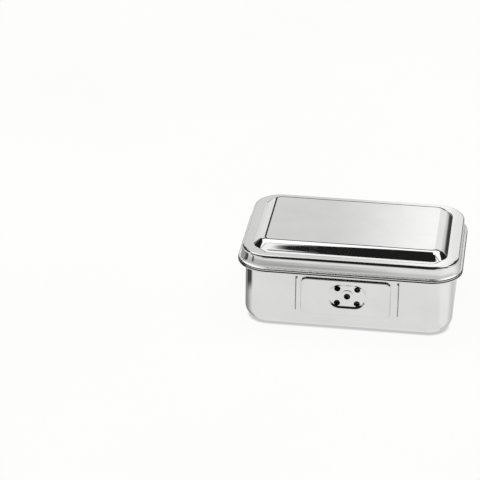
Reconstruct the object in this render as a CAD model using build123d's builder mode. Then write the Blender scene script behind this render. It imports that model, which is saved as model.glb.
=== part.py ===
"""Needle sterilization box: a pressed stainless steel box with a lift-off lid and two sliding steam vents.

Millimetres. The origin is the centre of the flat bottom, +Z is up, the long side runs along X, and the
front vent faces -Y. The rear vent is the front one turned half way round the Z axis.
"""
import os
from math import cos, radians, sin, tan

from build123d import *

os.makedirs("parts", exist_ok=True)

# Body: a deep-drawn pan with straight walls
BODY_LENGTH = 200.0
BODY_WIDTH = 132.0
CORNER_RADIUS = 24.0
BOTTOM_RADIUS = 12.0
SHEET = 0.8

# Rim of the body, rolled outwards
RIM_TOP = 75.15
RIM_ROLL_RADIUS = 1.5
RIM_ROLL_TURN = 240.0

# Lid skirt, from the rolled bead up over a groove, a small ridge and its ledge, a crease and a gentle flare.
# Heights are above the table, distances out are from the body's wall
BEAD_OUT = 6.1
BEAD_HEIGHT = 60.5
BEAD_RADIUS = 1.4
BEAD_START = -150.0
BEAD_TURN = 195.0
GROOVE_RADIUS = 0.35
GROOVE_TURN = 80.0
RIDGE_RADIUS = 1.0
RIDGE_TURN = 100.0
LEDGE_LENGTH = 1.8
CREASE_RADIUS = 0.5
CREASE_TURN = 50.0
FLARE_RADIUS = 27.0
FLARE_TURN = 15.0

# Edge between the skirt and the flat rim of the lid: a wide arc below a tighter one
LID_RIM_HEIGHT = 76.0
LOWER_EDGE_RADIUS = 3.4
LOWER_EDGE_TURN = 55.0
UPPER_EDGE_RADIUS = 1.5

# Raised panel of the lid
DOME_INSET = 7.4
DOME_HEIGHT = 7.2
DOME_SLOPE = 40.0
DOME_FOOT_RADIUS = 1.0
DOME_TOP_RADIUS = 10.0
TOP_PLATE_INSET = 21.0

# Vent holes, seen from outside: a hole in each corner of a rectangle and one in its middle
VENT_X = 0.4
VENT_Z = 37.6
HOLE_RADIUS = 3.0
HOLE_STEP_X = 19.0
HOLE_STEP_Z = 15.0
VENT_TRAVEL = 6.3

# Sliding cover outside the wall: a shallow pressed pan with an oval recess round the holes
VENT_SHEET = 0.6
SLIDE_GAP = 0.1
COVER_LENGTH = 86.3
COVER_HEIGHT = 39.0
COVER_CORNER = 6.0
COVER_RISE = 2.1
COVER_SLOPE = 33.0
COVER_OFFSET_X = -1.6
COVER_OFFSET_Z = -1.8
COVER_EDGE_RADIUS = 1.1
RECESS_LENGTH = 37.4
RECESS_HEIGHT = 25.0
RECESS_CORNER = 11.8
RECESS_SLOPE = 52.0
RECESS_EDGE_RADIUS = 0.8

# Hollow rivet that carries the cover through the wall
EYELET_BARREL_RADIUS = 3.4
EYELET_FLANGE_RADIUS = 6.2
EYELET_FLANGE_HEIGHT = 0.7
EYELET_CLINCH_RADIUS = 4.8
EYELET_CLINCH_HEIGHT = 0.6
EYELET_ROUNDING = 0.25
SLOT_CLEARANCE = 0.15

# Shutter plate inside the wall
PLATE_LENGTH = 74.0
PLATE_HEIGHT = 33.8
PLATE_CORNER = 3.0

# Guard over the shutter, held by a tab at each end in a slit of the wall
GUARD_LENGTH = 97.6
GUARD_HEIGHT = 35.4
GUARD_CORNER = 1.2
GUARD_DEPTH = 2.1
GUARD_EDGE_RADIUS = 0.9
TAB_HEIGHT = 33.0
SLIT_CENTRE = 48.7
SLIT_WIDTH = 1.1
SLIT_TOP = 54.9
SLIT_BOTTOM = 19.2
RELIEF_RADIUS = 1.1


def wall_outline():
    """The body's outer outline seen from above, as one closed path from the middle of the front."""
    half_length = BODY_LENGTH / 2
    half_width = BODY_WIDTH / 2
    with BuildLine() as outline:
        run = Line((0, -half_width), (half_length - CORNER_RADIUS, -half_width))
        for side in (BODY_WIDTH, BODY_LENGTH, BODY_WIDTH, half_length + CORNER_RADIUS):
            corner = JernArc(run @ 1, run % 1, CORNER_RADIUS, 90)
            run = PolarLine(corner @ 1, side - 2 * CORNER_RADIUS, direction=corner % 1)
    return outline.wire()


def vent_plane(side):
    """Plane on the outer face of a long wall at its vent, its Z axis pointing out of the box."""
    if side == "front":
        return Plane(origin=(VENT_X, -BODY_WIDTH / 2, VENT_Z), x_dir=(1, 0, 0), z_dir=(0, -1, 0))
    return Plane(origin=(-VENT_X, BODY_WIDTH / 2, VENT_Z), x_dir=(-1, 0, 0), z_dir=(0, 1, 0))


# Cross-sections stand on the front wall: X is the distance out from the wall, Y the height
section_plane = Plane(origin=(0, -BODY_WIDTH / 2, 0), x_dir=(0, -1, 0), z_dir=(-1, 0, 0))
path = wall_outline()

# Body: drawn pan, rolled rim, then the cuts for both vents
roll_centre_height = RIM_TOP - RIM_ROLL_RADIUS
through_wall = 2 * SHEET
with BuildPart() as box_body:
    with BuildSketch():
        RectangleRounded(BODY_LENGTH, BODY_WIDTH, CORNER_RADIUS)
    extrude(amount=roll_centre_height)
    fillet(box_body.edges().group_by(Axis.Z)[0], BOTTOM_RADIUS)
    offset(amount=-SHEET, openings=box_body.faces().sort_by(Axis.Z)[-1])
    with BuildSketch(section_plane) as rim_section:
        with BuildLine():
            CenterArc((RIM_ROLL_RADIUS - SHEET, roll_centre_height), RIM_ROLL_RADIUS, 180, -RIM_ROLL_TURN)
            offset(amount=SHEET, side=Side.RIGHT)
        make_face()
    sweep(sections=rim_section.sketch, path=path)
    for side in ("front", "rear"):
        plane = vent_plane(side)
        with BuildSketch(plane):
            with GridLocations(HOLE_STEP_X, HOLE_STEP_Z, 2, 2):
                Circle(HOLE_RADIUS)
            with Locations((VENT_TRAVEL / 2, 0)):
                slot_radius = EYELET_BARREL_RADIUS + SLOT_CLEARANCE
                SlotCenterToCenter(VENT_TRAVEL, 2 * slot_radius)
        extrude(amount=-through_wall, mode=Mode.SUBTRACT)
        slit_height = SLIT_TOP - SLIT_BOTTOM
        slit_z = (SLIT_TOP + SLIT_BOTTOM) / 2 - VENT_Z
        with BuildSketch(plane):
            for end in (-1, 1):
                with Locations((end * SLIT_CENTRE - VENT_X, slit_z)):
                    Rectangle(SLIT_WIDTH, slit_height)
                relief_x = end * (SLIT_CENTRE - SLIT_WIDTH / 2)
                with Locations((relief_x - VENT_X, SLIT_TOP - RELIEF_RADIUS - VENT_Z)):
                    Circle(RELIEF_RADIUS)
        extrude(amount=-through_wall, mode=Mode.SUBTRACT)
box_body.part.label = "box_body"
export_step(box_body.part, "parts/box_body.step")

# Lid: one section carried round the wall, from the bead under the skirt up to the raised panel
lower_turn = sin(radians(LOWER_EDGE_TURN))
edge_height = LOWER_EDGE_RADIUS * lower_turn + UPPER_EDGE_RADIUS * (1 - lower_turn)
slope = radians(DOME_SLOPE)
arcs_rise = (DOME_FOOT_RADIUS + DOME_TOP_RADIUS) * (1 - cos(slope))
slope_length = (DOME_HEIGHT - arcs_rise) / sin(slope)
top_height = LID_RIM_HEIGHT + DOME_HEIGHT
with BuildPart() as lid:
    with BuildSketch(section_plane) as lid_section:
        with BuildLine():
            bead = CenterArc((BEAD_OUT, BEAD_HEIGHT), BEAD_RADIUS, BEAD_START, BEAD_TURN)
            groove = JernArc(bead @ 1, bead % 1, GROOVE_RADIUS, -GROOVE_TURN)
            ridge = JernArc(groove @ 1, groove % 1, RIDGE_RADIUS, RIDGE_TURN)
            ledge = PolarLine(ridge @ 1, LEDGE_LENGTH, direction=ridge % 1)
            crease = JernArc(ledge @ 1, ledge % 1, CREASE_RADIUS, -CREASE_TURN)
            flare = JernArc(crease @ 1, crease % 1, FLARE_RADIUS, -FLARE_TURN)
            skirt = Line(flare @ 1, ((flare @ 1).X, LID_RIM_HEIGHT - edge_height))
            lower_edge = JernArc(skirt @ 1, skirt % 1, LOWER_EDGE_RADIUS, LOWER_EDGE_TURN)
            upper_edge = JernArc(lower_edge @ 1, lower_edge % 1, UPPER_EDGE_RADIUS, 90 - LOWER_EDGE_TURN)
            rim = Line(upper_edge @ 1, (-DOME_INSET, LID_RIM_HEIGHT))
            foot = JernArc(rim @ 1, rim % 1, DOME_FOOT_RADIUS, -DOME_SLOPE)
            rise = PolarLine(foot @ 1, slope_length, direction=foot % 1)
            crown = JernArc(rise @ 1, rise % 1, DOME_TOP_RADIUS, DOME_SLOPE)
            Line(crown @ 1, (-TOP_PLATE_INSET, top_height))
            offset(amount=SHEET, side=Side.LEFT)
        make_face()
    sweep(sections=lid_section.sketch, path=path)
    with BuildSketch(Plane.XY.offset(top_height)):
        plate_length = BODY_LENGTH - 2 * TOP_PLATE_INSET
        plate_width = BODY_WIDTH - 2 * TOP_PLATE_INSET
        RectangleRounded(plate_length, plate_width, CORNER_RADIUS - TOP_PLATE_INSET)
    extrude(amount=-SHEET)
lid.part.label = "lid"
export_step(lid.part, "parts/lid.step")

# The vent pieces of each long side. Heights along a vent plane are negative inside the wall's outer face
floor_face = SLIDE_GAP + VENT_SHEET
plate_face = -SHEET - SLIDE_GAP
clinch_face = plate_face - VENT_SHEET
side_thickness = VENT_SHEET / cos(radians(COVER_SLOPE))
recess_slope = radians(RECESS_SLOPE)
tub_grow = VENT_SHEET / cos(recess_slope) - VENT_SHEET * tan(recess_slope)
for side in ("front", "rear"):
    plane = vent_plane(side)
    outward = Axis(plane.origin, plane.z_dir)

    # Cover: a shallow pan with sloping sides, then the tub of its oval recess down to the wall
    with BuildPart() as vent_cover:
        with BuildSketch(plane.offset(SLIDE_GAP)):
            with Locations((COVER_OFFSET_X, COVER_OFFSET_Z)):
                RectangleRounded(COVER_LENGTH, COVER_HEIGHT, COVER_CORNER)
        extrude(amount=COVER_RISE - SLIDE_GAP, taper=COVER_SLOPE)
        fillet(vent_cover.edges().group_by(outward)[-1], COVER_EDGE_RADIUS)
        with BuildSketch(plane.offset(SLIDE_GAP)):
            with Locations((COVER_OFFSET_X, COVER_OFFSET_Z)):
                hollow_length = COVER_LENGTH - 2 * side_thickness
                hollow_height = COVER_HEIGHT - 2 * side_thickness
                RectangleRounded(hollow_length, hollow_height, COVER_CORNER - side_thickness)
        hollow_depth = COVER_RISE - VENT_SHEET - SLIDE_GAP
        extrude(amount=hollow_depth, taper=COVER_SLOPE, mode=Mode.SUBTRACT)
        with BuildSketch(plane.offset(COVER_RISE - VENT_SHEET)):
            tub_length = RECESS_LENGTH + 2 * tub_grow
            tub_height = RECESS_HEIGHT + 2 * tub_grow
            RectangleRounded(tub_length, tub_height, RECESS_CORNER + tub_grow)
        extrude(amount=SLIDE_GAP + VENT_SHEET - COVER_RISE, taper=RECESS_SLOPE)
        with BuildSketch(plane.offset(COVER_RISE)):
            RectangleRounded(RECESS_LENGTH, RECESS_HEIGHT, RECESS_CORNER)
        extrude(amount=floor_face - COVER_RISE, taper=RECESS_SLOPE, mode=Mode.SUBTRACT)
        panel_face = vent_cover.faces().sort_by(outward)[-1]
        fillet(panel_face.inner_wires().edges(), RECESS_EDGE_RADIUS)
        with BuildSketch(plane):
            with GridLocations(HOLE_STEP_X, HOLE_STEP_Z, 2, 2):
                Circle(HOLE_RADIUS)
            Circle(EYELET_BARREL_RADIUS)
        extrude(amount=COVER_RISE, mode=Mode.SUBTRACT)
    vent_cover.part.label = f"{side}_vent_cover"
    export_step(vent_cover.part, f"parts/{side}_vent_cover.step")

    # Eyelet: a tube with a raised flange outside and a clinched flange inside
    half_section = Plane(origin=plane.origin, x_dir=plane.x_dir, z_dir=plane.x_dir.cross(plane.z_dir))
    with BuildPart() as vent_eyelet:
        with BuildSketch(half_section):
            with BuildLine():
                Polyline(
                    (HOLE_RADIUS, clinch_face - EYELET_CLINCH_HEIGHT),
                    (EYELET_CLINCH_RADIUS, clinch_face - EYELET_CLINCH_HEIGHT),
                    (EYELET_CLINCH_RADIUS, clinch_face),
                    (EYELET_BARREL_RADIUS, clinch_face),
                    (EYELET_BARREL_RADIUS, floor_face),
                    (EYELET_FLANGE_RADIUS, floor_face),
                    (EYELET_FLANGE_RADIUS, floor_face + EYELET_FLANGE_HEIGHT),
                    (HOLE_RADIUS, floor_face + EYELET_FLANGE_HEIGHT),
                    close=True,
                )
            make_face()
        revolve(axis=outward)
        fillet(vent_eyelet.edges().group_by(outward)[-1], EYELET_ROUNDING)
        fillet(vent_eyelet.edges().group_by(outward)[0], EYELET_ROUNDING)
    vent_eyelet.part.label = f"{side}_vent_eyelet"
    export_step(vent_eyelet.part, f"parts/{side}_vent_eyelet.step")

    # Shutter plate: flat, its edges running in the guard
    with BuildPart() as shutter_plate:
        with BuildSketch(plane.offset(plate_face)):
            with Locations((COVER_OFFSET_X, COVER_OFFSET_Z)):
                RectangleRounded(PLATE_LENGTH, PLATE_HEIGHT, PLATE_CORNER)
            with GridLocations(HOLE_STEP_X, HOLE_STEP_Z, 2, 2):
                Circle(HOLE_RADIUS, mode=Mode.SUBTRACT)
            Circle(EYELET_BARREL_RADIUS, mode=Mode.SUBTRACT)
        extrude(amount=-VENT_SHEET)
    shutter_plate.part.label = f"{side}_shutter_plate"
    export_step(shutter_plate.part, f"parts/{side}_shutter_plate.step")

    # Guard: a pan open to the wall, pierced like the wall, with a tab at each end
    with BuildPart() as shutter_guard:
        with BuildSketch(plane.offset(-SHEET)):
            with Locations((-VENT_X, COVER_OFFSET_Z)):
                RectangleRounded(GUARD_LENGTH, GUARD_HEIGHT, GUARD_CORNER)
        extrude(amount=-GUARD_DEPTH)
        fillet(shutter_guard.edges().group_by(outward)[0], GUARD_EDGE_RADIUS)
        offset(amount=-VENT_SHEET, openings=shutter_guard.faces().sort_by(outward)[-1])
        with BuildSketch(plane.offset(-SHEET)):
            with GridLocations(HOLE_STEP_X, HOLE_STEP_Z, 2, 2):
                Circle(HOLE_RADIUS)
            Circle(HOLE_RADIUS)
        extrude(amount=-GUARD_DEPTH, mode=Mode.SUBTRACT)
        with BuildSketch(plane.offset(-SHEET)):
            with Locations((-VENT_X, COVER_OFFSET_Z)):
                with GridLocations(GUARD_LENGTH - VENT_SHEET, 0, 2, 1):
                    Rectangle(VENT_SHEET, TAB_HEIGHT)
        extrude(amount=SHEET)
    shutter_guard.part.label = f"{side}_shutter_guard"
    export_step(shutter_guard.part, f"parts/{side}_shutter_guard.step")
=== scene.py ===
"""Needle sterilization box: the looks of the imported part, in metres and in the part's own frame."""
from math import cos, pi, radians, sin, tan

import bmesh
import bpy
from mathutils import Matrix, Vector


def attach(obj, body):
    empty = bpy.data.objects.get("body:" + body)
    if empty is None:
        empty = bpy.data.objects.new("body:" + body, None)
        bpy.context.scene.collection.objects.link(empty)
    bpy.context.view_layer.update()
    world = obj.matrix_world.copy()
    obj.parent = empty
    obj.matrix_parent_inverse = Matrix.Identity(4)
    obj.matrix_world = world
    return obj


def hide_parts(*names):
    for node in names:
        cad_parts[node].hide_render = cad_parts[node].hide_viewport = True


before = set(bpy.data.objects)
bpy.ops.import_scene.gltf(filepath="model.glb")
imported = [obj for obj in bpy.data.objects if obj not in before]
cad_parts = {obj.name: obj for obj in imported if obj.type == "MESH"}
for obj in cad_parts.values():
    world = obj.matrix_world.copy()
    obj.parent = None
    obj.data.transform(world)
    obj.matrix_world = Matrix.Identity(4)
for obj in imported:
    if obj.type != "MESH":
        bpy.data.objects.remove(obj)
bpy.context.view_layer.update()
MM = 0.001

# Sizes in millimetres. They are those of the solids, but for two radii of the lid that are sharper here:
# the crease above the ledge and the foot of the raised panel
BODY = (200.0, 132.0, 24.0)
SHEET = 0.8
BOTTOM_RADIUS = 12.0
RIM_TOP = 75.15
RIM_ROLL_RADIUS = 1.5
RIM_ROLL_TURN = 240.0
BEAD_OUT = 6.1
BEAD_HEIGHT = 60.5
BEAD_RADIUS = 1.4
BEAD_START = -150.0
BEAD_TURN = 195.0
GROOVE_RADIUS = 0.35
GROOVE_TURN = 80.0
RIDGE_RADIUS = 1.0
RIDGE_TURN = 100.0
LEDGE_LENGTH = 1.8
CREASE_RADIUS = 0.2
CREASE_TURN = 50.0
FLARE_RADIUS = 27.0
FLARE_TURN = 15.0
LID_RIM_HEIGHT = 76.0
LOWER_EDGE_RADIUS = 3.4
LOWER_EDGE_TURN = 55.0
UPPER_EDGE_RADIUS = 1.5
DOME_INSET = 7.4
DOME_HEIGHT = 7.2
DOME_SLOPE = 40.0
DOME_FOOT_RADIUS = 0.5
DOME_TOP_RADIUS = 10.0
TOP_PLATE_INSET = 21.0
VENT_X = 0.4
VENT_Z = 37.6
HOLE_RADIUS = 3.0
HOLE_STEP_X = 19.0
HOLE_STEP_Z = 15.0
VENT_TRAVEL = 6.3
VENT_SHEET = 0.6
SLIDE_GAP = 0.1
COVER = (86.3, 39.0, 6.0)
COVER_RISE = 2.1
COVER_SLOPE = 33.0
COVER_OFFSET = (-1.6, -1.8)
COVER_EDGE_RADIUS = 1.1
RECESS = (37.4, 25.0, 11.8)
RECESS_SLOPE = 52.0
RECESS_EDGE_RADIUS = 0.8
BARREL_RADIUS = 3.4
SLOT_CLEARANCE = 0.15
SLIT_CENTRE = 48.7
SLIT_WIDTH = 1.1
SLIT_TOP = 54.9
SLIT_BOTTOM = 19.2
RELIEF_RADIUS = 1.1

# Straight stretch of a section where it starts or ends on a flat face, and how deep the cutters reach
LEAD = 1.0
CUT_IN = -3.0
CUT_OUT = 3.0

# Fineness of the meshes: points along a corner, a side, a hole and a small round, degrees along an arc, and
# the distance of the supporting loops from the ends of a straight stretch
CORNER_STEPS = 28
SIDE_STEPS = 20
HOLE_POINTS = 48
SMALL_POINTS = 24
ARC_STEP = 5.0
SUPPORT = 0.15
SHARP_ANGLE = 32.0
NORMAL_WEIGHT = 80


def trace(start, heading, moves):
    """Follows lines and arcs in a section's plane and returns the points with their left-hand normals."""
    x, y = start
    angle = radians(heading)
    points = [((x, y), (-sin(angle), cos(angle)))]
    for kind, size, *turn in moves:
        if kind == "line":
            steps = [SUPPORT, size / 2, size - SUPPORT, size]
            if size < 4 * SUPPORT:
                steps = [size]
            for s in steps:
                at = (x + s * cos(angle), y + s * sin(angle))
                points.append((at, (-sin(angle), cos(angle))))
            x, y = points[-1][0]
        else:
            way = 1 if turn[0] > 0 else -1
            centre = (x - way * size * sin(angle), y + way * size * cos(angle))
            count = max(3, round(abs(turn[0]) / ARC_STEP))
            for i in range(1, count + 1):
                a = angle + radians(turn[0]) * i / count
                at = (centre[0] + way * size * sin(a), centre[1] - way * size * cos(a))
                points.append((at, (-sin(a), cos(a))))
            angle += radians(turn[0])
            x, y = points[-1][0]
    return points


def doubled(line, thickness):
    """The outline of a sheet: along a traced line and back along the same line moved to its left."""
    back = [(x + thickness * nx, y + thickness * ny) for (x, y), (nx, ny) in line]
    return [p for p, _ in line] + back[::-1]


def ring(outline, out, offset=(0.0, 0.0)):
    """A rounded rectangle grown by out, as points in a plane. Every ring has the same number of points."""
    length, width, radius = (outline[0] + 2 * out, outline[1] + 2 * out, outline[2] + out)
    corners = []
    for quarter in range(4):
        sx = 1 if quarter in (0, 3) else -1
        sy = 1 if quarter in (0, 1) else -1
        centre = (sx * (length / 2 - radius), sy * (width / 2 - radius))
        turns = [quarter * pi / 2 + i * pi / 2 / CORNER_STEPS for i in range(CORNER_STEPS + 1)]
        corners.append([(centre[0] + radius * cos(a), centre[1] + radius * sin(a)) for a in turns])
    points = []
    for corner, following in zip(corners, corners[1:] + corners[:1]):
        points += corner
        a, b = corner[-1], following[0]
        for i in range(1, SIDE_STEPS):
            t = i / SIDE_STEPS
            points.append((a[0] + t * (b[0] - a[0]), a[1] + t * (b[1] - a[1])))
    return [(x + offset[0], y + offset[1]) for x, y in points]


def as_object(name, mesh):
    """Turns a working mesh into an object of the scene."""
    data = bpy.data.meshes.new(name)
    mesh.to_mesh(data)
    mesh.free()
    made = bpy.data.objects.new(name, data)
    bpy.context.scene.collection.objects.link(made)
    return made


def skin(name, rings):
    """A closed mesh over rings of three-dimensional points in millimetres, each joined to the next."""
    mesh = bmesh.new()
    loops = [[mesh.verts.new(Vector(p) * MM) for p in points] for points in rings]
    count = len(loops[0])
    for a, b in zip(loops, loops[1:]):
        for i in range(count):
            j = (i + 1) % count
            mesh.faces.new((a[i], a[j], b[j], b[i]))
    mesh.faces.new(loops[0])
    mesh.faces.new(loops[-1])
    bmesh.ops.recalc_face_normals(mesh, faces=mesh.faces)
    return as_object(name, mesh)


def prism(points, place):
    """A prism through a wall, over points of a vent's plane."""
    mesh = bmesh.new()
    ends = [[mesh.verts.new(Vector(place(x, y, h)) * MM) for x, y in points] for h in (CUT_IN, CUT_OUT)]
    for i in range(len(points)):
        j = (i + 1) % len(points)
        mesh.faces.new((ends[0][i], ends[0][j], ends[1][j], ends[1][i]))
    mesh.faces.new(ends[0])
    mesh.faces.new(ends[1])
    bmesh.ops.recalc_face_normals(mesh, faces=mesh.faces)
    return mesh


def circle(x, y, radius, count=HOLE_POINTS):
    turns = [2 * pi * i / count for i in range(count)]
    return [(x + radius * cos(a), y + radius * sin(a)) for a in turns]


def slot_points(length, radius, count=SMALL_POINTS):
    """A slot with round ends, from the origin to the right."""
    points = []
    for centre, start in ((length, -pi / 2), (0.0, pi / 2)):
        for i in range(count + 1):
            a = start + pi * i / count
            points.append((centre + radius * cos(a), radius * sin(a)))
    return points


def cut(target, cutters):
    """Cuts the prisms out of the target for good."""
    for cutter in cutters:
        tool = as_object("cutter", cutter)
        modifier = target.modifiers.new("cut", "BOOLEAN")
        modifier.operation = "DIFFERENCE"
        modifier.solver = "EXACT"
        modifier.object = tool
        graph = bpy.context.evaluated_depsgraph_get()
        result = bpy.data.meshes.new_from_object(target.evaluated_get(graph))
        target.modifiers.clear()
        old = target.data
        target.data = result
        bpy.data.meshes.remove(old)
        bpy.data.objects.remove(tool)


def finish_surface(made):
    """Smooth shading that breaks only at real edges."""
    made.data.polygons.foreach_set("use_smooth", [True] * len(made.data.polygons))
    made.data.set_sharp_from_angle(angle=radians(SHARP_ANGLE))
    weighted = made.modifiers.new("normals", "WEIGHTED_NORMAL")
    weighted.keep_sharp = True
    weighted.weight = NORMAL_WEIGHT


def front_place(x, y, h):
    """From a vent's own plane to the part: x to the right, y up, h out of the front wall."""
    return (VENT_X + x, -BODY[1] / 2 - h, VENT_Z + y)


def rear_place(x, y, h):
    """The same place on the rear wall, turned half way round the box."""
    return (-VENT_X - x, BODY[1] / 2 + h, VENT_Z + y)


def vent_holes():
    """The four outer holes of a vent, which wall, cover, plate and guard have in common."""
    corners = [(sx * HOLE_STEP_X / 2, sy * HOLE_STEP_Z / 2) for sx in (-1, 1) for sy in (-1, 1)]
    return [circle(x, y, HOLE_RADIUS) for x, y in corners]


def cover_shell(side, place):
    """A vent cover: sloping sides and a rounded edge round the panel, then the recess with its five holes."""
    slope = radians(COVER_SLOPE)
    turn = 90 - COVER_SLOPE
    side_length = (COVER_RISE - SLIDE_GAP) / cos(slope) - COVER_EDGE_RADIUS * tan(radians(turn) / 2)
    side_moves = [("line", side_length), ("arc", COVER_EDGE_RADIUS, turn), ("line", LEAD)]
    side_line = trace((0.0, SLIDE_GAP), 90 + COVER_SLOPE, side_moves)
    fall_turn = 90 - RECESS_SLOPE
    tangent = RECESS_EDGE_RADIUS * tan(radians(fall_turn) / 2)
    fall_length = (COVER_RISE - SLIDE_GAP - VENT_SHEET) / cos(radians(RECESS_SLOPE)) - tangent
    fall_moves = [("line", LEAD), ("arc", RECESS_EDGE_RADIUS, fall_turn), ("line", fall_length)]
    fall_line = trace((tangent + LEAD, COVER_RISE), 180, fall_moves)
    upper = []
    lower = []
    for line, outline, offset in ((side_line, COVER, COVER_OFFSET), (fall_line, RECESS, (0.0, 0.0))):
        for (out, h), (nx, ny) in line:
            upper.append([place(x, y, h) for x, y in ring(outline, out, offset)])
            low = h + VENT_SHEET * ny
            lower.append([place(x, y, low) for x, y in ring(outline, out + VENT_SHEET * nx, offset)])
    made = skin(f"{side}_cover_shell", upper[::-1] + lower)
    cutters = [prism(hole, place) for hole in vent_holes()]
    cutters.append(prism(circle(0, 0, BARREL_RADIUS), place))
    cut(made, cutters)
    return made


# Body: the pan's inner face from its floor up to the end of the rolled rim, and the outer face back
body_line = trace(
    (-BOTTOM_RADIUS - LEAD, SHEET), 0,
    [
        ("line", LEAD),
        ("arc", BOTTOM_RADIUS - SHEET, 90),
        ("line", RIM_TOP - RIM_ROLL_RADIUS - BOTTOM_RADIUS),
        ("arc", RIM_ROLL_RADIUS, -RIM_ROLL_TURN),
    ],
)
body_section = doubled(body_line, -SHEET)
body = skin("body_shell", [[(x, y, z) for x, y in ring(BODY, out)] for out, z in body_section])
body_cutters = []
for place in (front_place, rear_place):
    body_cutters += [prism(hole, place) for hole in vent_holes()]
    body_cutters.append(prism(slot_points(VENT_TRAVEL, BARREL_RADIUS + SLOT_CLEARANCE), place))
    for end in (-1, 1):
        left = end * SLIT_CENTRE - VENT_X - SLIT_WIDTH / 2
        right = left + SLIT_WIDTH
        bottom = SLIT_BOTTOM - VENT_Z
        top = SLIT_TOP - VENT_Z
        body_cutters.append(prism([(left, bottom), (right, bottom), (right, top), (left, top)], place))
        relief_x = end * (SLIT_CENTRE - SLIT_WIDTH / 2) - VENT_X
        relief = circle(relief_x, top - RELIEF_RADIUS, RELIEF_RADIUS, SMALL_POINTS)
        body_cutters.append(prism(relief, place))
cut(body, body_cutters)

# Lid: from the free end of the bead over groove, ridge, ledge and skirt to the rim and the raised panel
bead_start = radians(BEAD_START)
skirt_line = trace(
    (BEAD_OUT + BEAD_RADIUS * cos(bead_start), BEAD_HEIGHT + BEAD_RADIUS * sin(bead_start)),
    BEAD_START + 90,
    [
        ("arc", BEAD_RADIUS, BEAD_TURN),
        ("arc", GROOVE_RADIUS, -GROOVE_TURN),
        ("arc", RIDGE_RADIUS, RIDGE_TURN),
        ("line", LEDGE_LENGTH),
        ("arc", CREASE_RADIUS, -CREASE_TURN),
        ("arc", FLARE_RADIUS, -FLARE_TURN),
    ],
)
skirt_out, flare_top = skirt_line[-1][0]
lower_turn = radians(LOWER_EDGE_TURN)
edge_height = LOWER_EDGE_RADIUS * sin(lower_turn) + UPPER_EDGE_RADIUS * (1 - sin(lower_turn))
edge_depth = LOWER_EDGE_RADIUS * (1 - cos(lower_turn)) + UPPER_EDGE_RADIUS * cos(lower_turn)
slope = radians(DOME_SLOPE)
slope_length = (DOME_HEIGHT - (DOME_FOOT_RADIUS + DOME_TOP_RADIUS) * (1 - cos(slope))) / sin(slope)
dome_run = (DOME_FOOT_RADIUS + DOME_TOP_RADIUS) * sin(slope) + slope_length * cos(slope)
upper_line = trace(
    (skirt_out, flare_top), 90,
    [
        ("line", LID_RIM_HEIGHT - edge_height - flare_top),
        ("arc", LOWER_EDGE_RADIUS, LOWER_EDGE_TURN),
        ("arc", UPPER_EDGE_RADIUS, 90 - LOWER_EDGE_TURN),
        ("line", skirt_out - edge_depth + DOME_INSET),
        ("arc", DOME_FOOT_RADIUS, -DOME_SLOPE),
        ("line", slope_length),
        ("arc", DOME_TOP_RADIUS, DOME_SLOPE),
        ("line", TOP_PLATE_INSET - DOME_INSET - dome_run),
    ],
)
lid_line = skirt_line + upper_line[1:]
half = len(lid_line)
lid_section = doubled(lid_line, SHEET)
lid_section = lid_section[:half][::-1] + lid_section[half:][::-1]
lid = skin("lid_shell", [[(x, y, z) for x, y in ring(BODY, out)] for out, z in lid_section])

covers = {"front": cover_shell("front", front_place), "rear": cover_shell("rear", rear_place)}
for made in (body, lid, *covers.values()):
    finish_surface(made)


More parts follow.
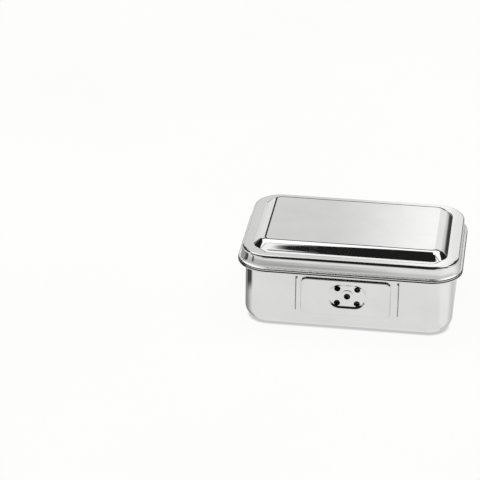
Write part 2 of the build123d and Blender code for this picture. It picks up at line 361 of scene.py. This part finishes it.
class Graph:
    """A node tree with short calls for what the materials, the floor and the world share."""

    def __init__(self, tree):
        self.nodes = tree.nodes
        self.links = tree.links
        self.nodes.clear()

    def add(self, kind, **values):
        node = self.nodes.new(kind)
        for name, value in values.items():
            setattr(node, name, value)
        return node

    def put(self, socket, value):
        if isinstance(value, bpy.types.NodeSocket):
            self.links.new(value, socket)
        else:
            socket.default_value = value

    def maths(self, operation, *values):
        node = self.add("ShaderNodeMath", operation=operation)
        for socket, value in zip(node.inputs, values):
            self.put(socket, value)
        return node.outputs["Value"]

    def product(self, first, *others):
        for value in others:
            first = self.maths("MULTIPLY", first, value)
        return first

    def plus(self, first, *others):
        for value in others:
            first = self.maths("ADD", first, value)
        return first

    def less(self, first, second):
        return self.maths("SUBTRACT", first, second)

    def blend(self, start, end, part):
        """The number start where part is nought, and end where it is one."""
        return self.plus(start, self.product(part, self.less(end, start)))

    def distance(self, x, y):
        return self.maths("SQRT", self.plus(self.product(x, x), self.product(y, y)))

    def axes(self, vector):
        node = self.add("ShaderNodeSeparateXYZ")
        self.put(node.inputs["Vector"], vector)
        return node.outputs

    def step(self, value, low, high, start=0.0, end=1.0):
        node = self.add("ShaderNodeMapRange", interpolation_type="SMOOTHSTEP")
        for name, number in (("From Min", low), ("From Max", high), ("To Min", start), ("To Max", end)):
            node.inputs[name].default_value = number
        self.put(node.inputs["Value"], value)
        return node.outputs["Result"]

    def window(self, value, low, high, soft):
        rise = self.step(value, low - soft, low + soft)
        fall = self.step(value, high - soft, high + soft, 1.0, 0.0)
        return self.product(rise, fall)

    def level_band(self, z, bottom, top, soft):
        """One between two heights in millimetres."""
        return self.window(z, bottom * MM, top * MM, soft)

    def noise(self, vector, scale, detail, distortion=0.0):
        node = self.add("ShaderNodeTexNoise")
        node.inputs["Scale"].default_value = scale
        node.inputs["Detail"].default_value = detail
        node.inputs["Distortion"].default_value = distortion
        self.put(node.inputs["Vector"], vector)
        return node.outputs["Fac"]

    def streaks(self, vector, stretch):
        """Noise drawn out along two axes by a small scale there."""
        node = self.add("ShaderNodeMapping")
        node.inputs["Scale"].default_value = stretch
        self.put(node.inputs["Vector"], vector)
        return self.noise(node.outputs["Vector"], 1.0, 3.0)

    def tones(self, value, low, low_tone, high, high_tone):
        node = self.add("ShaderNodeValToRGB")
        for element, at, tone in zip(node.color_ramp.elements, (low, high), (low_tone, high_tone)):
            element.position = at
            element.color = (tone, tone, tone * WARMTH, 1)
        self.put(node.inputs["Fac"], value)
        return node.outputs["Color"]

    def mix(self, part, start, end, data_type="RGBA", blend_type="MIX"):
        node = self.add("ShaderNodeMix", data_type=data_type, blend_type=blend_type)
        for name, value in (("Factor", part), ("A", start), ("B", end)):
            self.put(node.inputs[name], value)
        return node.outputs["Result"]

    def bump(self, height, strength, distance, normal=None):
        node = self.add("ShaderNodeBump")
        node.inputs["Strength"].default_value = strength
        node.inputs["Distance"].default_value = distance
        self.put(node.inputs["Height"], height)
        if normal is not None:
            self.put(node.inputs["Normal"], normal)
        return node.outputs["Normal"]


# The rows of numbers from here on: two or four say where a step starts and ends, and the tones there, and
# three say where a window starts and ends, and how soft it is

# Steel: scales of the noises per metre, tones and roughness
WARMTH = 0.995
TONE_PATCHES = 38.0
HAZE_PATCHES = 55.0
SHEET_WAVES = 26.0
POLISH_LINES = (60.0, 60.0, 1500.0)
POLISH_DEPTH = 0.000001
SATIN_AND_SHADE_TONE = (0.50, 0.50, 0.49, 1)
SATIN_HAZE = 0.34
SATIN_EDGE = 0.00005

# Marks on the lid, with heights in millimetres and soft edges in metres: a painted highlight on the ledge,
# painted shade on the bead and the ridge, darker streaks on the skirt, and the bulge of the sloping sides
LEDGE_BOTTOM = 63.4
LEDGE_TOP = 64.3
PAINTED_LEDGE_HIGHLIGHT = (0.97, 0.97, 0.96, 1)
LEDGE_HAZE = 0.30
BEAD_SHADE_BOTTOM = 60.75
BEAD_SHADE_TOP = 61.7
RIDGE_SHADE_BOTTOM = 62.6
RIDGE_SHADE_TOP = 63.4
PAINTED_SHADE_TONE = (0.06, 0.06, 0.06, 1)
LINE_EDGE = 0.00006
SKIRT_DARK_BOTTOM = 66.0
SKIRT_DARK_TOP = 71.0
SKIRT_DARK_EDGE = 0.0008
SKIRT_DARK_TONE = (0.66, 0.655, 0.65, 1)
SKIRT_DARK_FRONT = (-0.066, -0.060, 1.0, 0.0)
SKIRT_DARK_PART = (0.005, 0.055, 1.0, 0.0)
SKIRT_DARK_STREAKS = (22.0, 22.0, 420.0)
SKIRT_DARK_STRENGTH = (0.3, 0.7, 0.62, 1.15)
SLOPE_MIDDLE = 79.0
SLOPE_CROWN = 0.0175


def steel(name, base, dark, rough, rough_more, wave, satin_and_shade_inside=False, is_lid=False):
    """Polished steel: uneven tone, wiped and hazy patches, fine polishing lines, and slightly wavy sheet."""
    material = bpy.data.materials.new(name)
    material.use_nodes = True
    g = Graph(material.node_tree)
    shader = g.add("ShaderNodeBsdfPrincipled")
    shader.inputs["Metallic"].default_value = 1.0
    g.put(g.add("ShaderNodeOutputMaterial").inputs["Surface"], shader.outputs["BSDF"])
    where = g.add("ShaderNodeTexCoord").outputs["Object"]

    tone = g.tones(g.noise(where, TONE_PATCHES, 4.0), 0.3, dark, 0.62, base)
    haze = g.step(g.noise(where, HAZE_PATCHES, 6.0, 0.6), 0.35, 0.75, rough, rough_more)
    fine = g.bump(g.streaks(where, POLISH_LINES), 0.1, POLISH_DEPTH)
    wavy = g.bump(g.noise(where, SHEET_WAVES, 1.0), 1.0, wave, fine)
    if satin_and_shade_inside:
        # Satin finish on the inner face, with a darker tone that is also painted shade inside the closed box
        inside = inner_side(g, where)
        tone = g.mix(inside, tone, SATIN_AND_SHADE_TONE)
        haze = g.plus(haze, g.product(inside, SATIN_HAZE))
    if is_lid:
        z = g.axes(where)["Z"]
        # Painted highlight: a lighter, hazier band along the ledge
        ledge = g.level_band(z, LEDGE_BOTTOM, LEDGE_TOP, LINE_EDGE)
        # Painted shade: near-black lines on the bead and on the ridge, for the shade in the groove between
        # them
        bead_shade = g.level_band(z, BEAD_SHADE_BOTTOM, BEAD_SHADE_TOP, LINE_EDGE)
        ridge = g.level_band(z, RIDGE_SHADE_BOTTOM, RIDGE_SHADE_TOP, LINE_EDGE)
        # Darker streaks along the front skirt
        tone = g.mix(skirt_dark_streaks(g, where), tone, SKIRT_DARK_TONE, blend_type="MULTIPLY")
        tone = g.mix(ledge, tone, PAINTED_LEDGE_HIGHLIGHT)
        tone = g.mix(g.maths("MAXIMUM", bead_shade, ridge), tone, PAINTED_SHADE_TONE)
        haze = g.plus(haze, g.product(ledge, LEDGE_HAZE))
        wavy = g.bump(slope_crown(g, where), 1.0, MM, wavy)
    g.put(shader.inputs["Base Color"], tone)
    g.put(shader.inputs["Roughness"], haze)
    g.put(shader.inputs["Normal"], wavy)
    return material


def skirt_dark_streaks(g, where):
    """Darker streaks along the lid's front skirt: most on its left and middle part."""
    x, y, z = g.axes(where)
    level = g.level_band(z, SKIRT_DARK_BOTTOM, SKIRT_DARK_TOP, SKIRT_DARK_EDGE)
    front = g.step(y, *SKIRT_DARK_FRONT)
    part = g.step(x, *SKIRT_DARK_PART)
    return g.product(level, front, part, g.step(g.streaks(where, SKIRT_DARK_STREAKS), *SKIRT_DARK_STRENGTH))


def slope_crown(g, where):
    """Height in millimetres by which the sloping sides of the raised panel bulge about their middle."""
    level = g.maths("MAXIMUM", g.axes(where)["Z"], LID_RIM_HEIGHT * MM)
    rise = g.less(g.product(level, 1 / MM), SLOPE_MIDDLE)
    return g.product(rise, rise, -SLOPE_CROWN)


def inner_side(g, where):
    """One on the inner face of the body's sheet, and nought on its outer face."""
    x, y, z = g.axes(where)
    x = g.less(g.maths("ABSOLUTE", x), (BODY[0] / 2 - BODY[2]) * MM)
    y = g.less(g.maths("ABSOLUTE", y), (BODY[1] / 2 - BODY[2]) * MM)
    reach = g.distance(g.maths("MAXIMUM", x, 0.0), g.maths("MAXIMUM", y, 0.0))
    out = g.maths("MAXIMUM", g.less(reach, (BODY[2] - BOTTOM_RADIUS) * MM), 0.0)
    down = g.maths("MAXIMUM", g.less(BOTTOM_RADIUS * MM, z), 0.0)
    middle = (BOTTOM_RADIUS - SHEET / 2) * MM
    return g.step(g.distance(out, down), middle - SATIN_EDGE, middle + SATIN_EDGE, 1.0, 0.0)


body_steel = steel("body_steel", 0.79, 0.755, 0.03, 0.08, 0.00005, satin_and_shade_inside=True)
lid_steel = steel("lid_steel", 0.80, 0.765, 0.02, 0.05, 0.00004, is_lid=True)
vent_steel = steel("vent_steel", 0.79, 0.75, 0.03, 0.08, 0.00004)
inner_steel = steel("inner_steel", 0.60, 0.54, 0.30, 0.42, 0.00006)

body.data.materials.append(body_steel)
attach(body, "box")
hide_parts("box_body")
lid.data.materials.append(lid_steel)
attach(lid, "lid")
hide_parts("lid")
for side, cover in covers.items():
    cover.data.materials.append(vent_steel)
    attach(cover, f"{side}_vent")
    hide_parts(f"{side}_vent_cover")
for node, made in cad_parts.items():
    finish = vent_steel if node.endswith("eyelet") else inner_steel
    for held in made.material_slots:
        held.material = finish

# Floor, in metres: white to the camera with a soft shadow, and in the steel by its distance from the box,
# with painted light and shade there
FLOOR_SIZE = 8.0
FLOOR_GAP = 0.00005
FLOOR_PATCHES = 3.0
FLOOR_GLOW = 0.95
CONTACT_REACH = 0.004
CONTACT_TONES = (0.3, 1.0, 0.55, 1.0)
NEAR_TONES = (0.18, 0.36, 0.90, 0.66)
FAR_TONES = (0.9, 5.0, 1.0, 0.6)
LIT_LEFT = (-0.9, -0.4, 1.0, 0.0)
LIT_LEFT_TONE = 0.88

# Painted reflections and painted shade: what the rounded front corners mirror of the floor, by the reach from
# the corner and by how far behind it
CORNER_X = 0.094
CORNER_BEHIND = 0.06
CLOSE_TONES = (-0.25, 0.85, 1.0, 0.30)
FANG_TONES = (-0.17, 0.12, 1.0, 0.03)
FANG_BACK_TONES = (0.58, 0.66, 0.0, 0.27)
STRIPE_TONE = 0.9
STRIPE_PLACE = (-0.50, -0.38, 0.04)
STRIPE_LEAST = 0.12
STRIPE_END = (-0.04, 0.06, 0.0, 0.85)
STRIPE_END_LEAST = 0.05
STRIPE_BACK = (0.26, 0.40, 0.0, 0.32)
STRIPES_START = (0.118, 0.130)
FANG_START = (0.055, 0.085)
LEFT_PART = (-0.11, -0.07, 1.0, 0.0)
LEFT_REACH = (0.25, 0.32, 1.0, 0.0)
RIGHT_BACK_TONES = (0.2, 0.95, 1.12, 0.72)
RIGHT_FRONT_TONES = (-0.9, -0.4, 0.90, 1.0)
RIGHT_PART = (0.07, 0.11, 0.0, 1.0)


def seen_from_corner(g, fx, fy, corner_x):
    """Reach from a front corner of the box to a place on the floor, and how far that is behind the corner."""
    x = g.less(fx, corner_x)
    y = g.plus(fy, CORNER_BEHIND)
    reach = g.distance(x, y)
    return reach, g.maths("DIVIDE", y, g.maths("MAXIMUM", reach, 0.001))


def mirrored_floor(g, where):
    """The floor's strength in the steel: painted light and shade by place, with painted dark streaks for the
    front corners to mirror.
    """
    fx, fy, _ = g.axes(where)
    beside = g.less(g.maths("ABSOLUTE", fx), BODY[0] / 2 * MM)
    before = g.less(g.maths("ABSOLUTE", fy), BODY[1] / 2 * MM)
    away = g.maths("MAXIMUM", beside, before)
    room = g.product(g.step(away, *NEAR_TONES), g.step(away, *FAR_TONES))
    room = g.blend(room, LIT_LEFT_TONE, g.step(fx, *LIT_LEFT))

    reach, behind = seen_from_corner(g, fx, fy, -CORNER_X)
    fang = g.plus(g.step(behind, *FANG_TONES), g.step(behind, *FANG_BACK_TONES))
    stripes = g.maths("MAXIMUM", g.less(STRIPE_TONE, g.window(behind, *STRIPE_PLACE)), STRIPE_LEAST)
    stripes = g.maths("MAXIMUM", g.less(stripes, g.step(behind, *STRIPE_END)), STRIPE_END_LEAST)
    stripes = g.plus(stripes, g.step(behind, *STRIPE_BACK))
    far_tone = g.blend(fang, stripes, g.step(reach, *STRIPES_START))
    left_corner = g.blend(g.step(behind, *CLOSE_TONES), far_tone, g.step(reach, *FANG_START))
    left_part = g.product(g.step(fx, *LEFT_PART), g.step(reach, *LEFT_REACH))

    reach, behind = seen_from_corner(g, fx, fy, CORNER_X)
    right_corner = g.product(g.step(behind, *RIGHT_BACK_TONES), g.step(behind, *RIGHT_FRONT_TONES))
    shade = g.blend(1.0, left_corner, left_part)
    shade = g.product(shade, g.blend(1.0, right_corner, g.step(fx, *RIGHT_PART)))
    return g.product(room, shade)


floor_mesh = bmesh.new()
bmesh.ops.create_grid(floor_mesh, x_segments=8, y_segments=8, size=FLOOR_SIZE)
floor = as_object("floor", floor_mesh)
floor.location.z = -FLOOR_GAP
paint = bpy.data.materials.new("floor")
paint.use_nodes = True
g = Graph(paint.node_tree)
where = g.add("ShaderNodeTexCoord").outputs["Object"]
patches = g.noise(where, FLOOR_PATCHES, 3.0)
touch = g.add("ShaderNodeAmbientOcclusion", samples=8)
touch.inputs["Distance"].default_value = CONTACT_REACH
contact = g.step(touch.outputs["AO"], *CONTACT_TONES)
path = g.add("ShaderNodeLightPath")
mirrored = path.outputs["Is Glossy Ray"]
seen = g.maths("MAXIMUM", path.outputs["Is Camera Ray"], mirrored)
glow = g.add("ShaderNodeEmission")
g.put(glow.inputs["Color"], g.tones(patches, 0.3, 0.99, 0.7, 1.0))
g.put(glow.inputs["Strength"], g.mix(mirrored, contact, mirrored_floor(g, where), data_type="FLOAT"))
matt = g.add("ShaderNodeBsdfDiffuse")
g.put(matt.inputs["Color"], g.tones(patches, 0.3, 0.90, 0.7, 0.93))
mixed = g.add("ShaderNodeMixShader")
g.put(mixed.inputs["Fac"], g.product(seen, FLOOR_GLOW))
g.put(mixed.inputs[1], matt.outputs["BSDF"])
g.put(mixed.inputs[2], glow.outputs["Emission"])
g.put(g.add("ShaderNodeOutputMaterial").inputs["Surface"], mixed.outputs["Shader"])
floor.data.materials.append(paint)

# World: a studio by direction, with a panel overhead, a lit wall behind, and a dark room in front
LOWEST = 0.02
SLANT_LEFT = (-0.105, -0.045, 0.0, 0.47)
SLANT_RIGHT = (0.1, 0.3, 0.0, 0.47)
PANEL_FRONT = (-0.09, -0.01)
PANEL_SIDES = (-1.0, 1.0, 0.05)
PANEL_BACK = (0.96, 1.04, 1.0, 0.0)
PANEL_STRENGTH = 1.32
WALL_TOP = (1.42, 1.47)
WALL_NEAR = (0.05, 0.3)
WALL_MIDDLE = (-0.088, -0.033, 0.765, 1.15)
WALL_RIGHT = (0.36, 0.42, 1.0, 0.75)
WALL_LEFT_EDGE = (-0.175, -0.155)
WALL_LINE = (-0.034, -0.029, 1.0, 0.81)
WALL_FAR_LEFT = (-0.275, -0.255, 0.89, 0.0)
WALL_WIDTH = (-0.53, 0.50, 0.025)
LOW_BAND_WIDTH = (-0.22, 0.26, 0.04)
LOW_BAND_TOP = (0.26, 0.30, 1.0, 0.0)
LOW_RIGHT_TOP = (0.09, 0.13, 0.95, 0.0)
LOW_RIGHT_START = (0.28, 0.34)
FRONT_TOP = (-0.12, -0.07, 1.0, 0.0)
FRONT_FOOT = (-0.43, -0.40)
BULGE_LOW = (-0.485, -0.355, 0.036, 0.0)
BULGE_HIGH = (-0.28, -0.17, 0.0, 0.012)
FRONT_LEFT = (-0.113, -0.102, 1.1, 0.0)
FRONT_RIGHT = (0.40, 0.50, 0.0, 0.95)
SIDE_GLOW_START = (0.93, 0.97)
SIDE_GLOW_TOP = (0.16, 0.26, 0.80, 0.0)
HORIZON_GLOW = (0.05, 0.10, 0.45, 0.02)
FRONT_GLOW_START = (0.35, 0.50, 0.0, 0.70)
FRONT_GLOW_TOP = (0.18, 0.42, 1.0, 0.0)
FRONT_GLOW_BACK = (-0.50, -0.35, 1.0, 0.0)
BACK_GLOW_START = (0.53, 0.60)
BACK_GLOW_TOP = (0.22, 0.30, 0.14, 0.0)
LEAST_GLOW = 0.015


def studio(g, direction):
    """The strength of the studio's light in a direction."""
    dx, dy, dz = g.axes(direction)
    height = g.maths("MAXIMUM", dz, LOWEST)
    across = g.maths("DIVIDE", dx, height)
    along = g.maths("DIVIDE", dy, height)
    aside = g.maths("ABSOLUTE", dx)

    slant = g.less(g.step(dx, *SLANT_LEFT), g.step(dx, *SLANT_RIGHT))
    past_front = g.step(g.less(along, slant), *PANEL_FRONT)
    panel = g.product(g.window(across, *PANEL_SIDES), g.step(along, *PANEL_BACK), past_front)

    wall = g.product(g.step(along, *WALL_TOP), g.step(dy, *WALL_NEAR))
    wall_tone = g.product(g.step(dx, *WALL_MIDDLE), g.step(dx, *WALL_RIGHT), g.step(dx, *WALL_LEFT_EDGE))
    wall_tone = g.plus(g.product(wall_tone, g.step(dx, *WALL_LINE)), g.step(dx, *WALL_FAR_LEFT))
    low_band = g.product(g.window(dx, *LOW_BAND_WIDTH), g.step(dz, *LOW_BAND_TOP))
    low_right = g.product(g.step(dz, *LOW_RIGHT_TOP), g.step(dx, *LOW_RIGHT_START))
    wall_tone = g.product(wall_tone, g.less(1.0, low_band), g.window(dx, *WALL_WIDTH), g.less(1.0, low_right))

    front = g.product(g.step(along, *FRONT_TOP), g.step(along, *FRONT_FOOT))
    bulge = g.plus(g.step(along, *BULGE_LOW), g.step(along, *BULGE_HIGH))
    sides = g.plus(g.step(g.less(dx, bulge), *FRONT_LEFT), g.step(dx, *FRONT_RIGHT))

    side_glow = g.product(g.step(aside, *SIDE_GLOW_START), g.step(dz, *SIDE_GLOW_TOP))
    front_glow = g.maths("MAXIMUM", g.step(dz, *HORIZON_GLOW), g.step(aside, *FRONT_GLOW_START))
    front_glow = g.product(front_glow, g.step(dz, *FRONT_GLOW_TOP), g.step(dy, *FRONT_GLOW_BACK))
    back_glow = g.product(g.step(aside, *BACK_GLOW_START), g.step(dz, *BACK_GLOW_TOP))
    low_glow = g.maths("MAXIMUM", side_glow, g.maths("MAXIMUM", front_glow, back_glow))

    light = g.plus(g.product(panel, PANEL_STRENGTH), g.product(wall, wall_tone), g.product(front, sides))
    return g.plus(light, low_glow, LEAST_GLOW)


world = bpy.data.worlds.new("studio")
bpy.context.scene.world = world
world.use_nodes = True
g = Graph(world.node_tree)
light = studio(g, g.add("ShaderNodeTexCoord").outputs["Generated"])
to_camera = g.add("ShaderNodeLightPath").outputs["Is Camera Ray"]
background = g.add("ShaderNodeBackground")
background.inputs["Color"].default_value = (1, 1, 1, 1)
g.put(background.inputs["Strength"], g.mix(to_camera, light, 1.0, data_type="FLOAT"))
g.put(g.add("ShaderNodeOutputWorld").inputs["Surface"], background.outputs["Background"])

# Lamp overhead
LAMP_SIZE = (1.8, 1.2)
LAMP_POWER = 12.0
LAMP_AT = (0.0, 0.1, 1.6)
lamp_data = bpy.data.lights.new("overhead", "AREA")
lamp_data.shape = "RECTANGLE"
lamp_data.size, lamp_data.size_y = LAMP_SIZE
lamp_data.energy = LAMP_POWER
lamp = bpy.data.objects.new("overhead", lamp_data)
bpy.context.scene.collection.objects.link(lamp)
lamp.location = LAMP_AT
lamp.visible_glossy = False

# Camera: fitted to the outlines of the box in the photograph
FOCAL_PIXELS = 2244.0
IMAGE_PIXELS = 480.0
CAMERA_AT = (0.1607, -1.9469, 1.0284)
CAMERA_FORWARD = (-0.1243, 0.8876, -0.4434)
CAMERA_ROLL = 0.0089
bpy.context.scene.view_settings.view_transform = "Standard"
camera_data = bpy.data.cameras.new("camera")
camera_data.sensor_width = 36.0
camera_data.lens = camera_data.sensor_width * FOCAL_PIXELS / IMAGE_PIXELS
camera_data.clip_start = 0.05
camera_data.clip_end = 40.0
camera = bpy.data.objects.new("camera", camera_data)
bpy.context.scene.collection.objects.link(camera)
forward = Vector(CAMERA_FORWARD).normalized()
right = forward.cross(Vector((0, 0, 1))).normalized()
up = right.cross(forward)
right_rolled = right * cos(CAMERA_ROLL) + up * sin(CAMERA_ROLL)
up_rolled = up * cos(CAMERA_ROLL) - right * sin(CAMERA_ROLL)
facing = Matrix((right_rolled, up_rolled, -forward)).transposed()
camera.matrix_world = Matrix.Translation(CAMERA_AT) @ facing.to_4x4()
bpy.context.scene.camera = camera

bpy.context.view_layer.update()
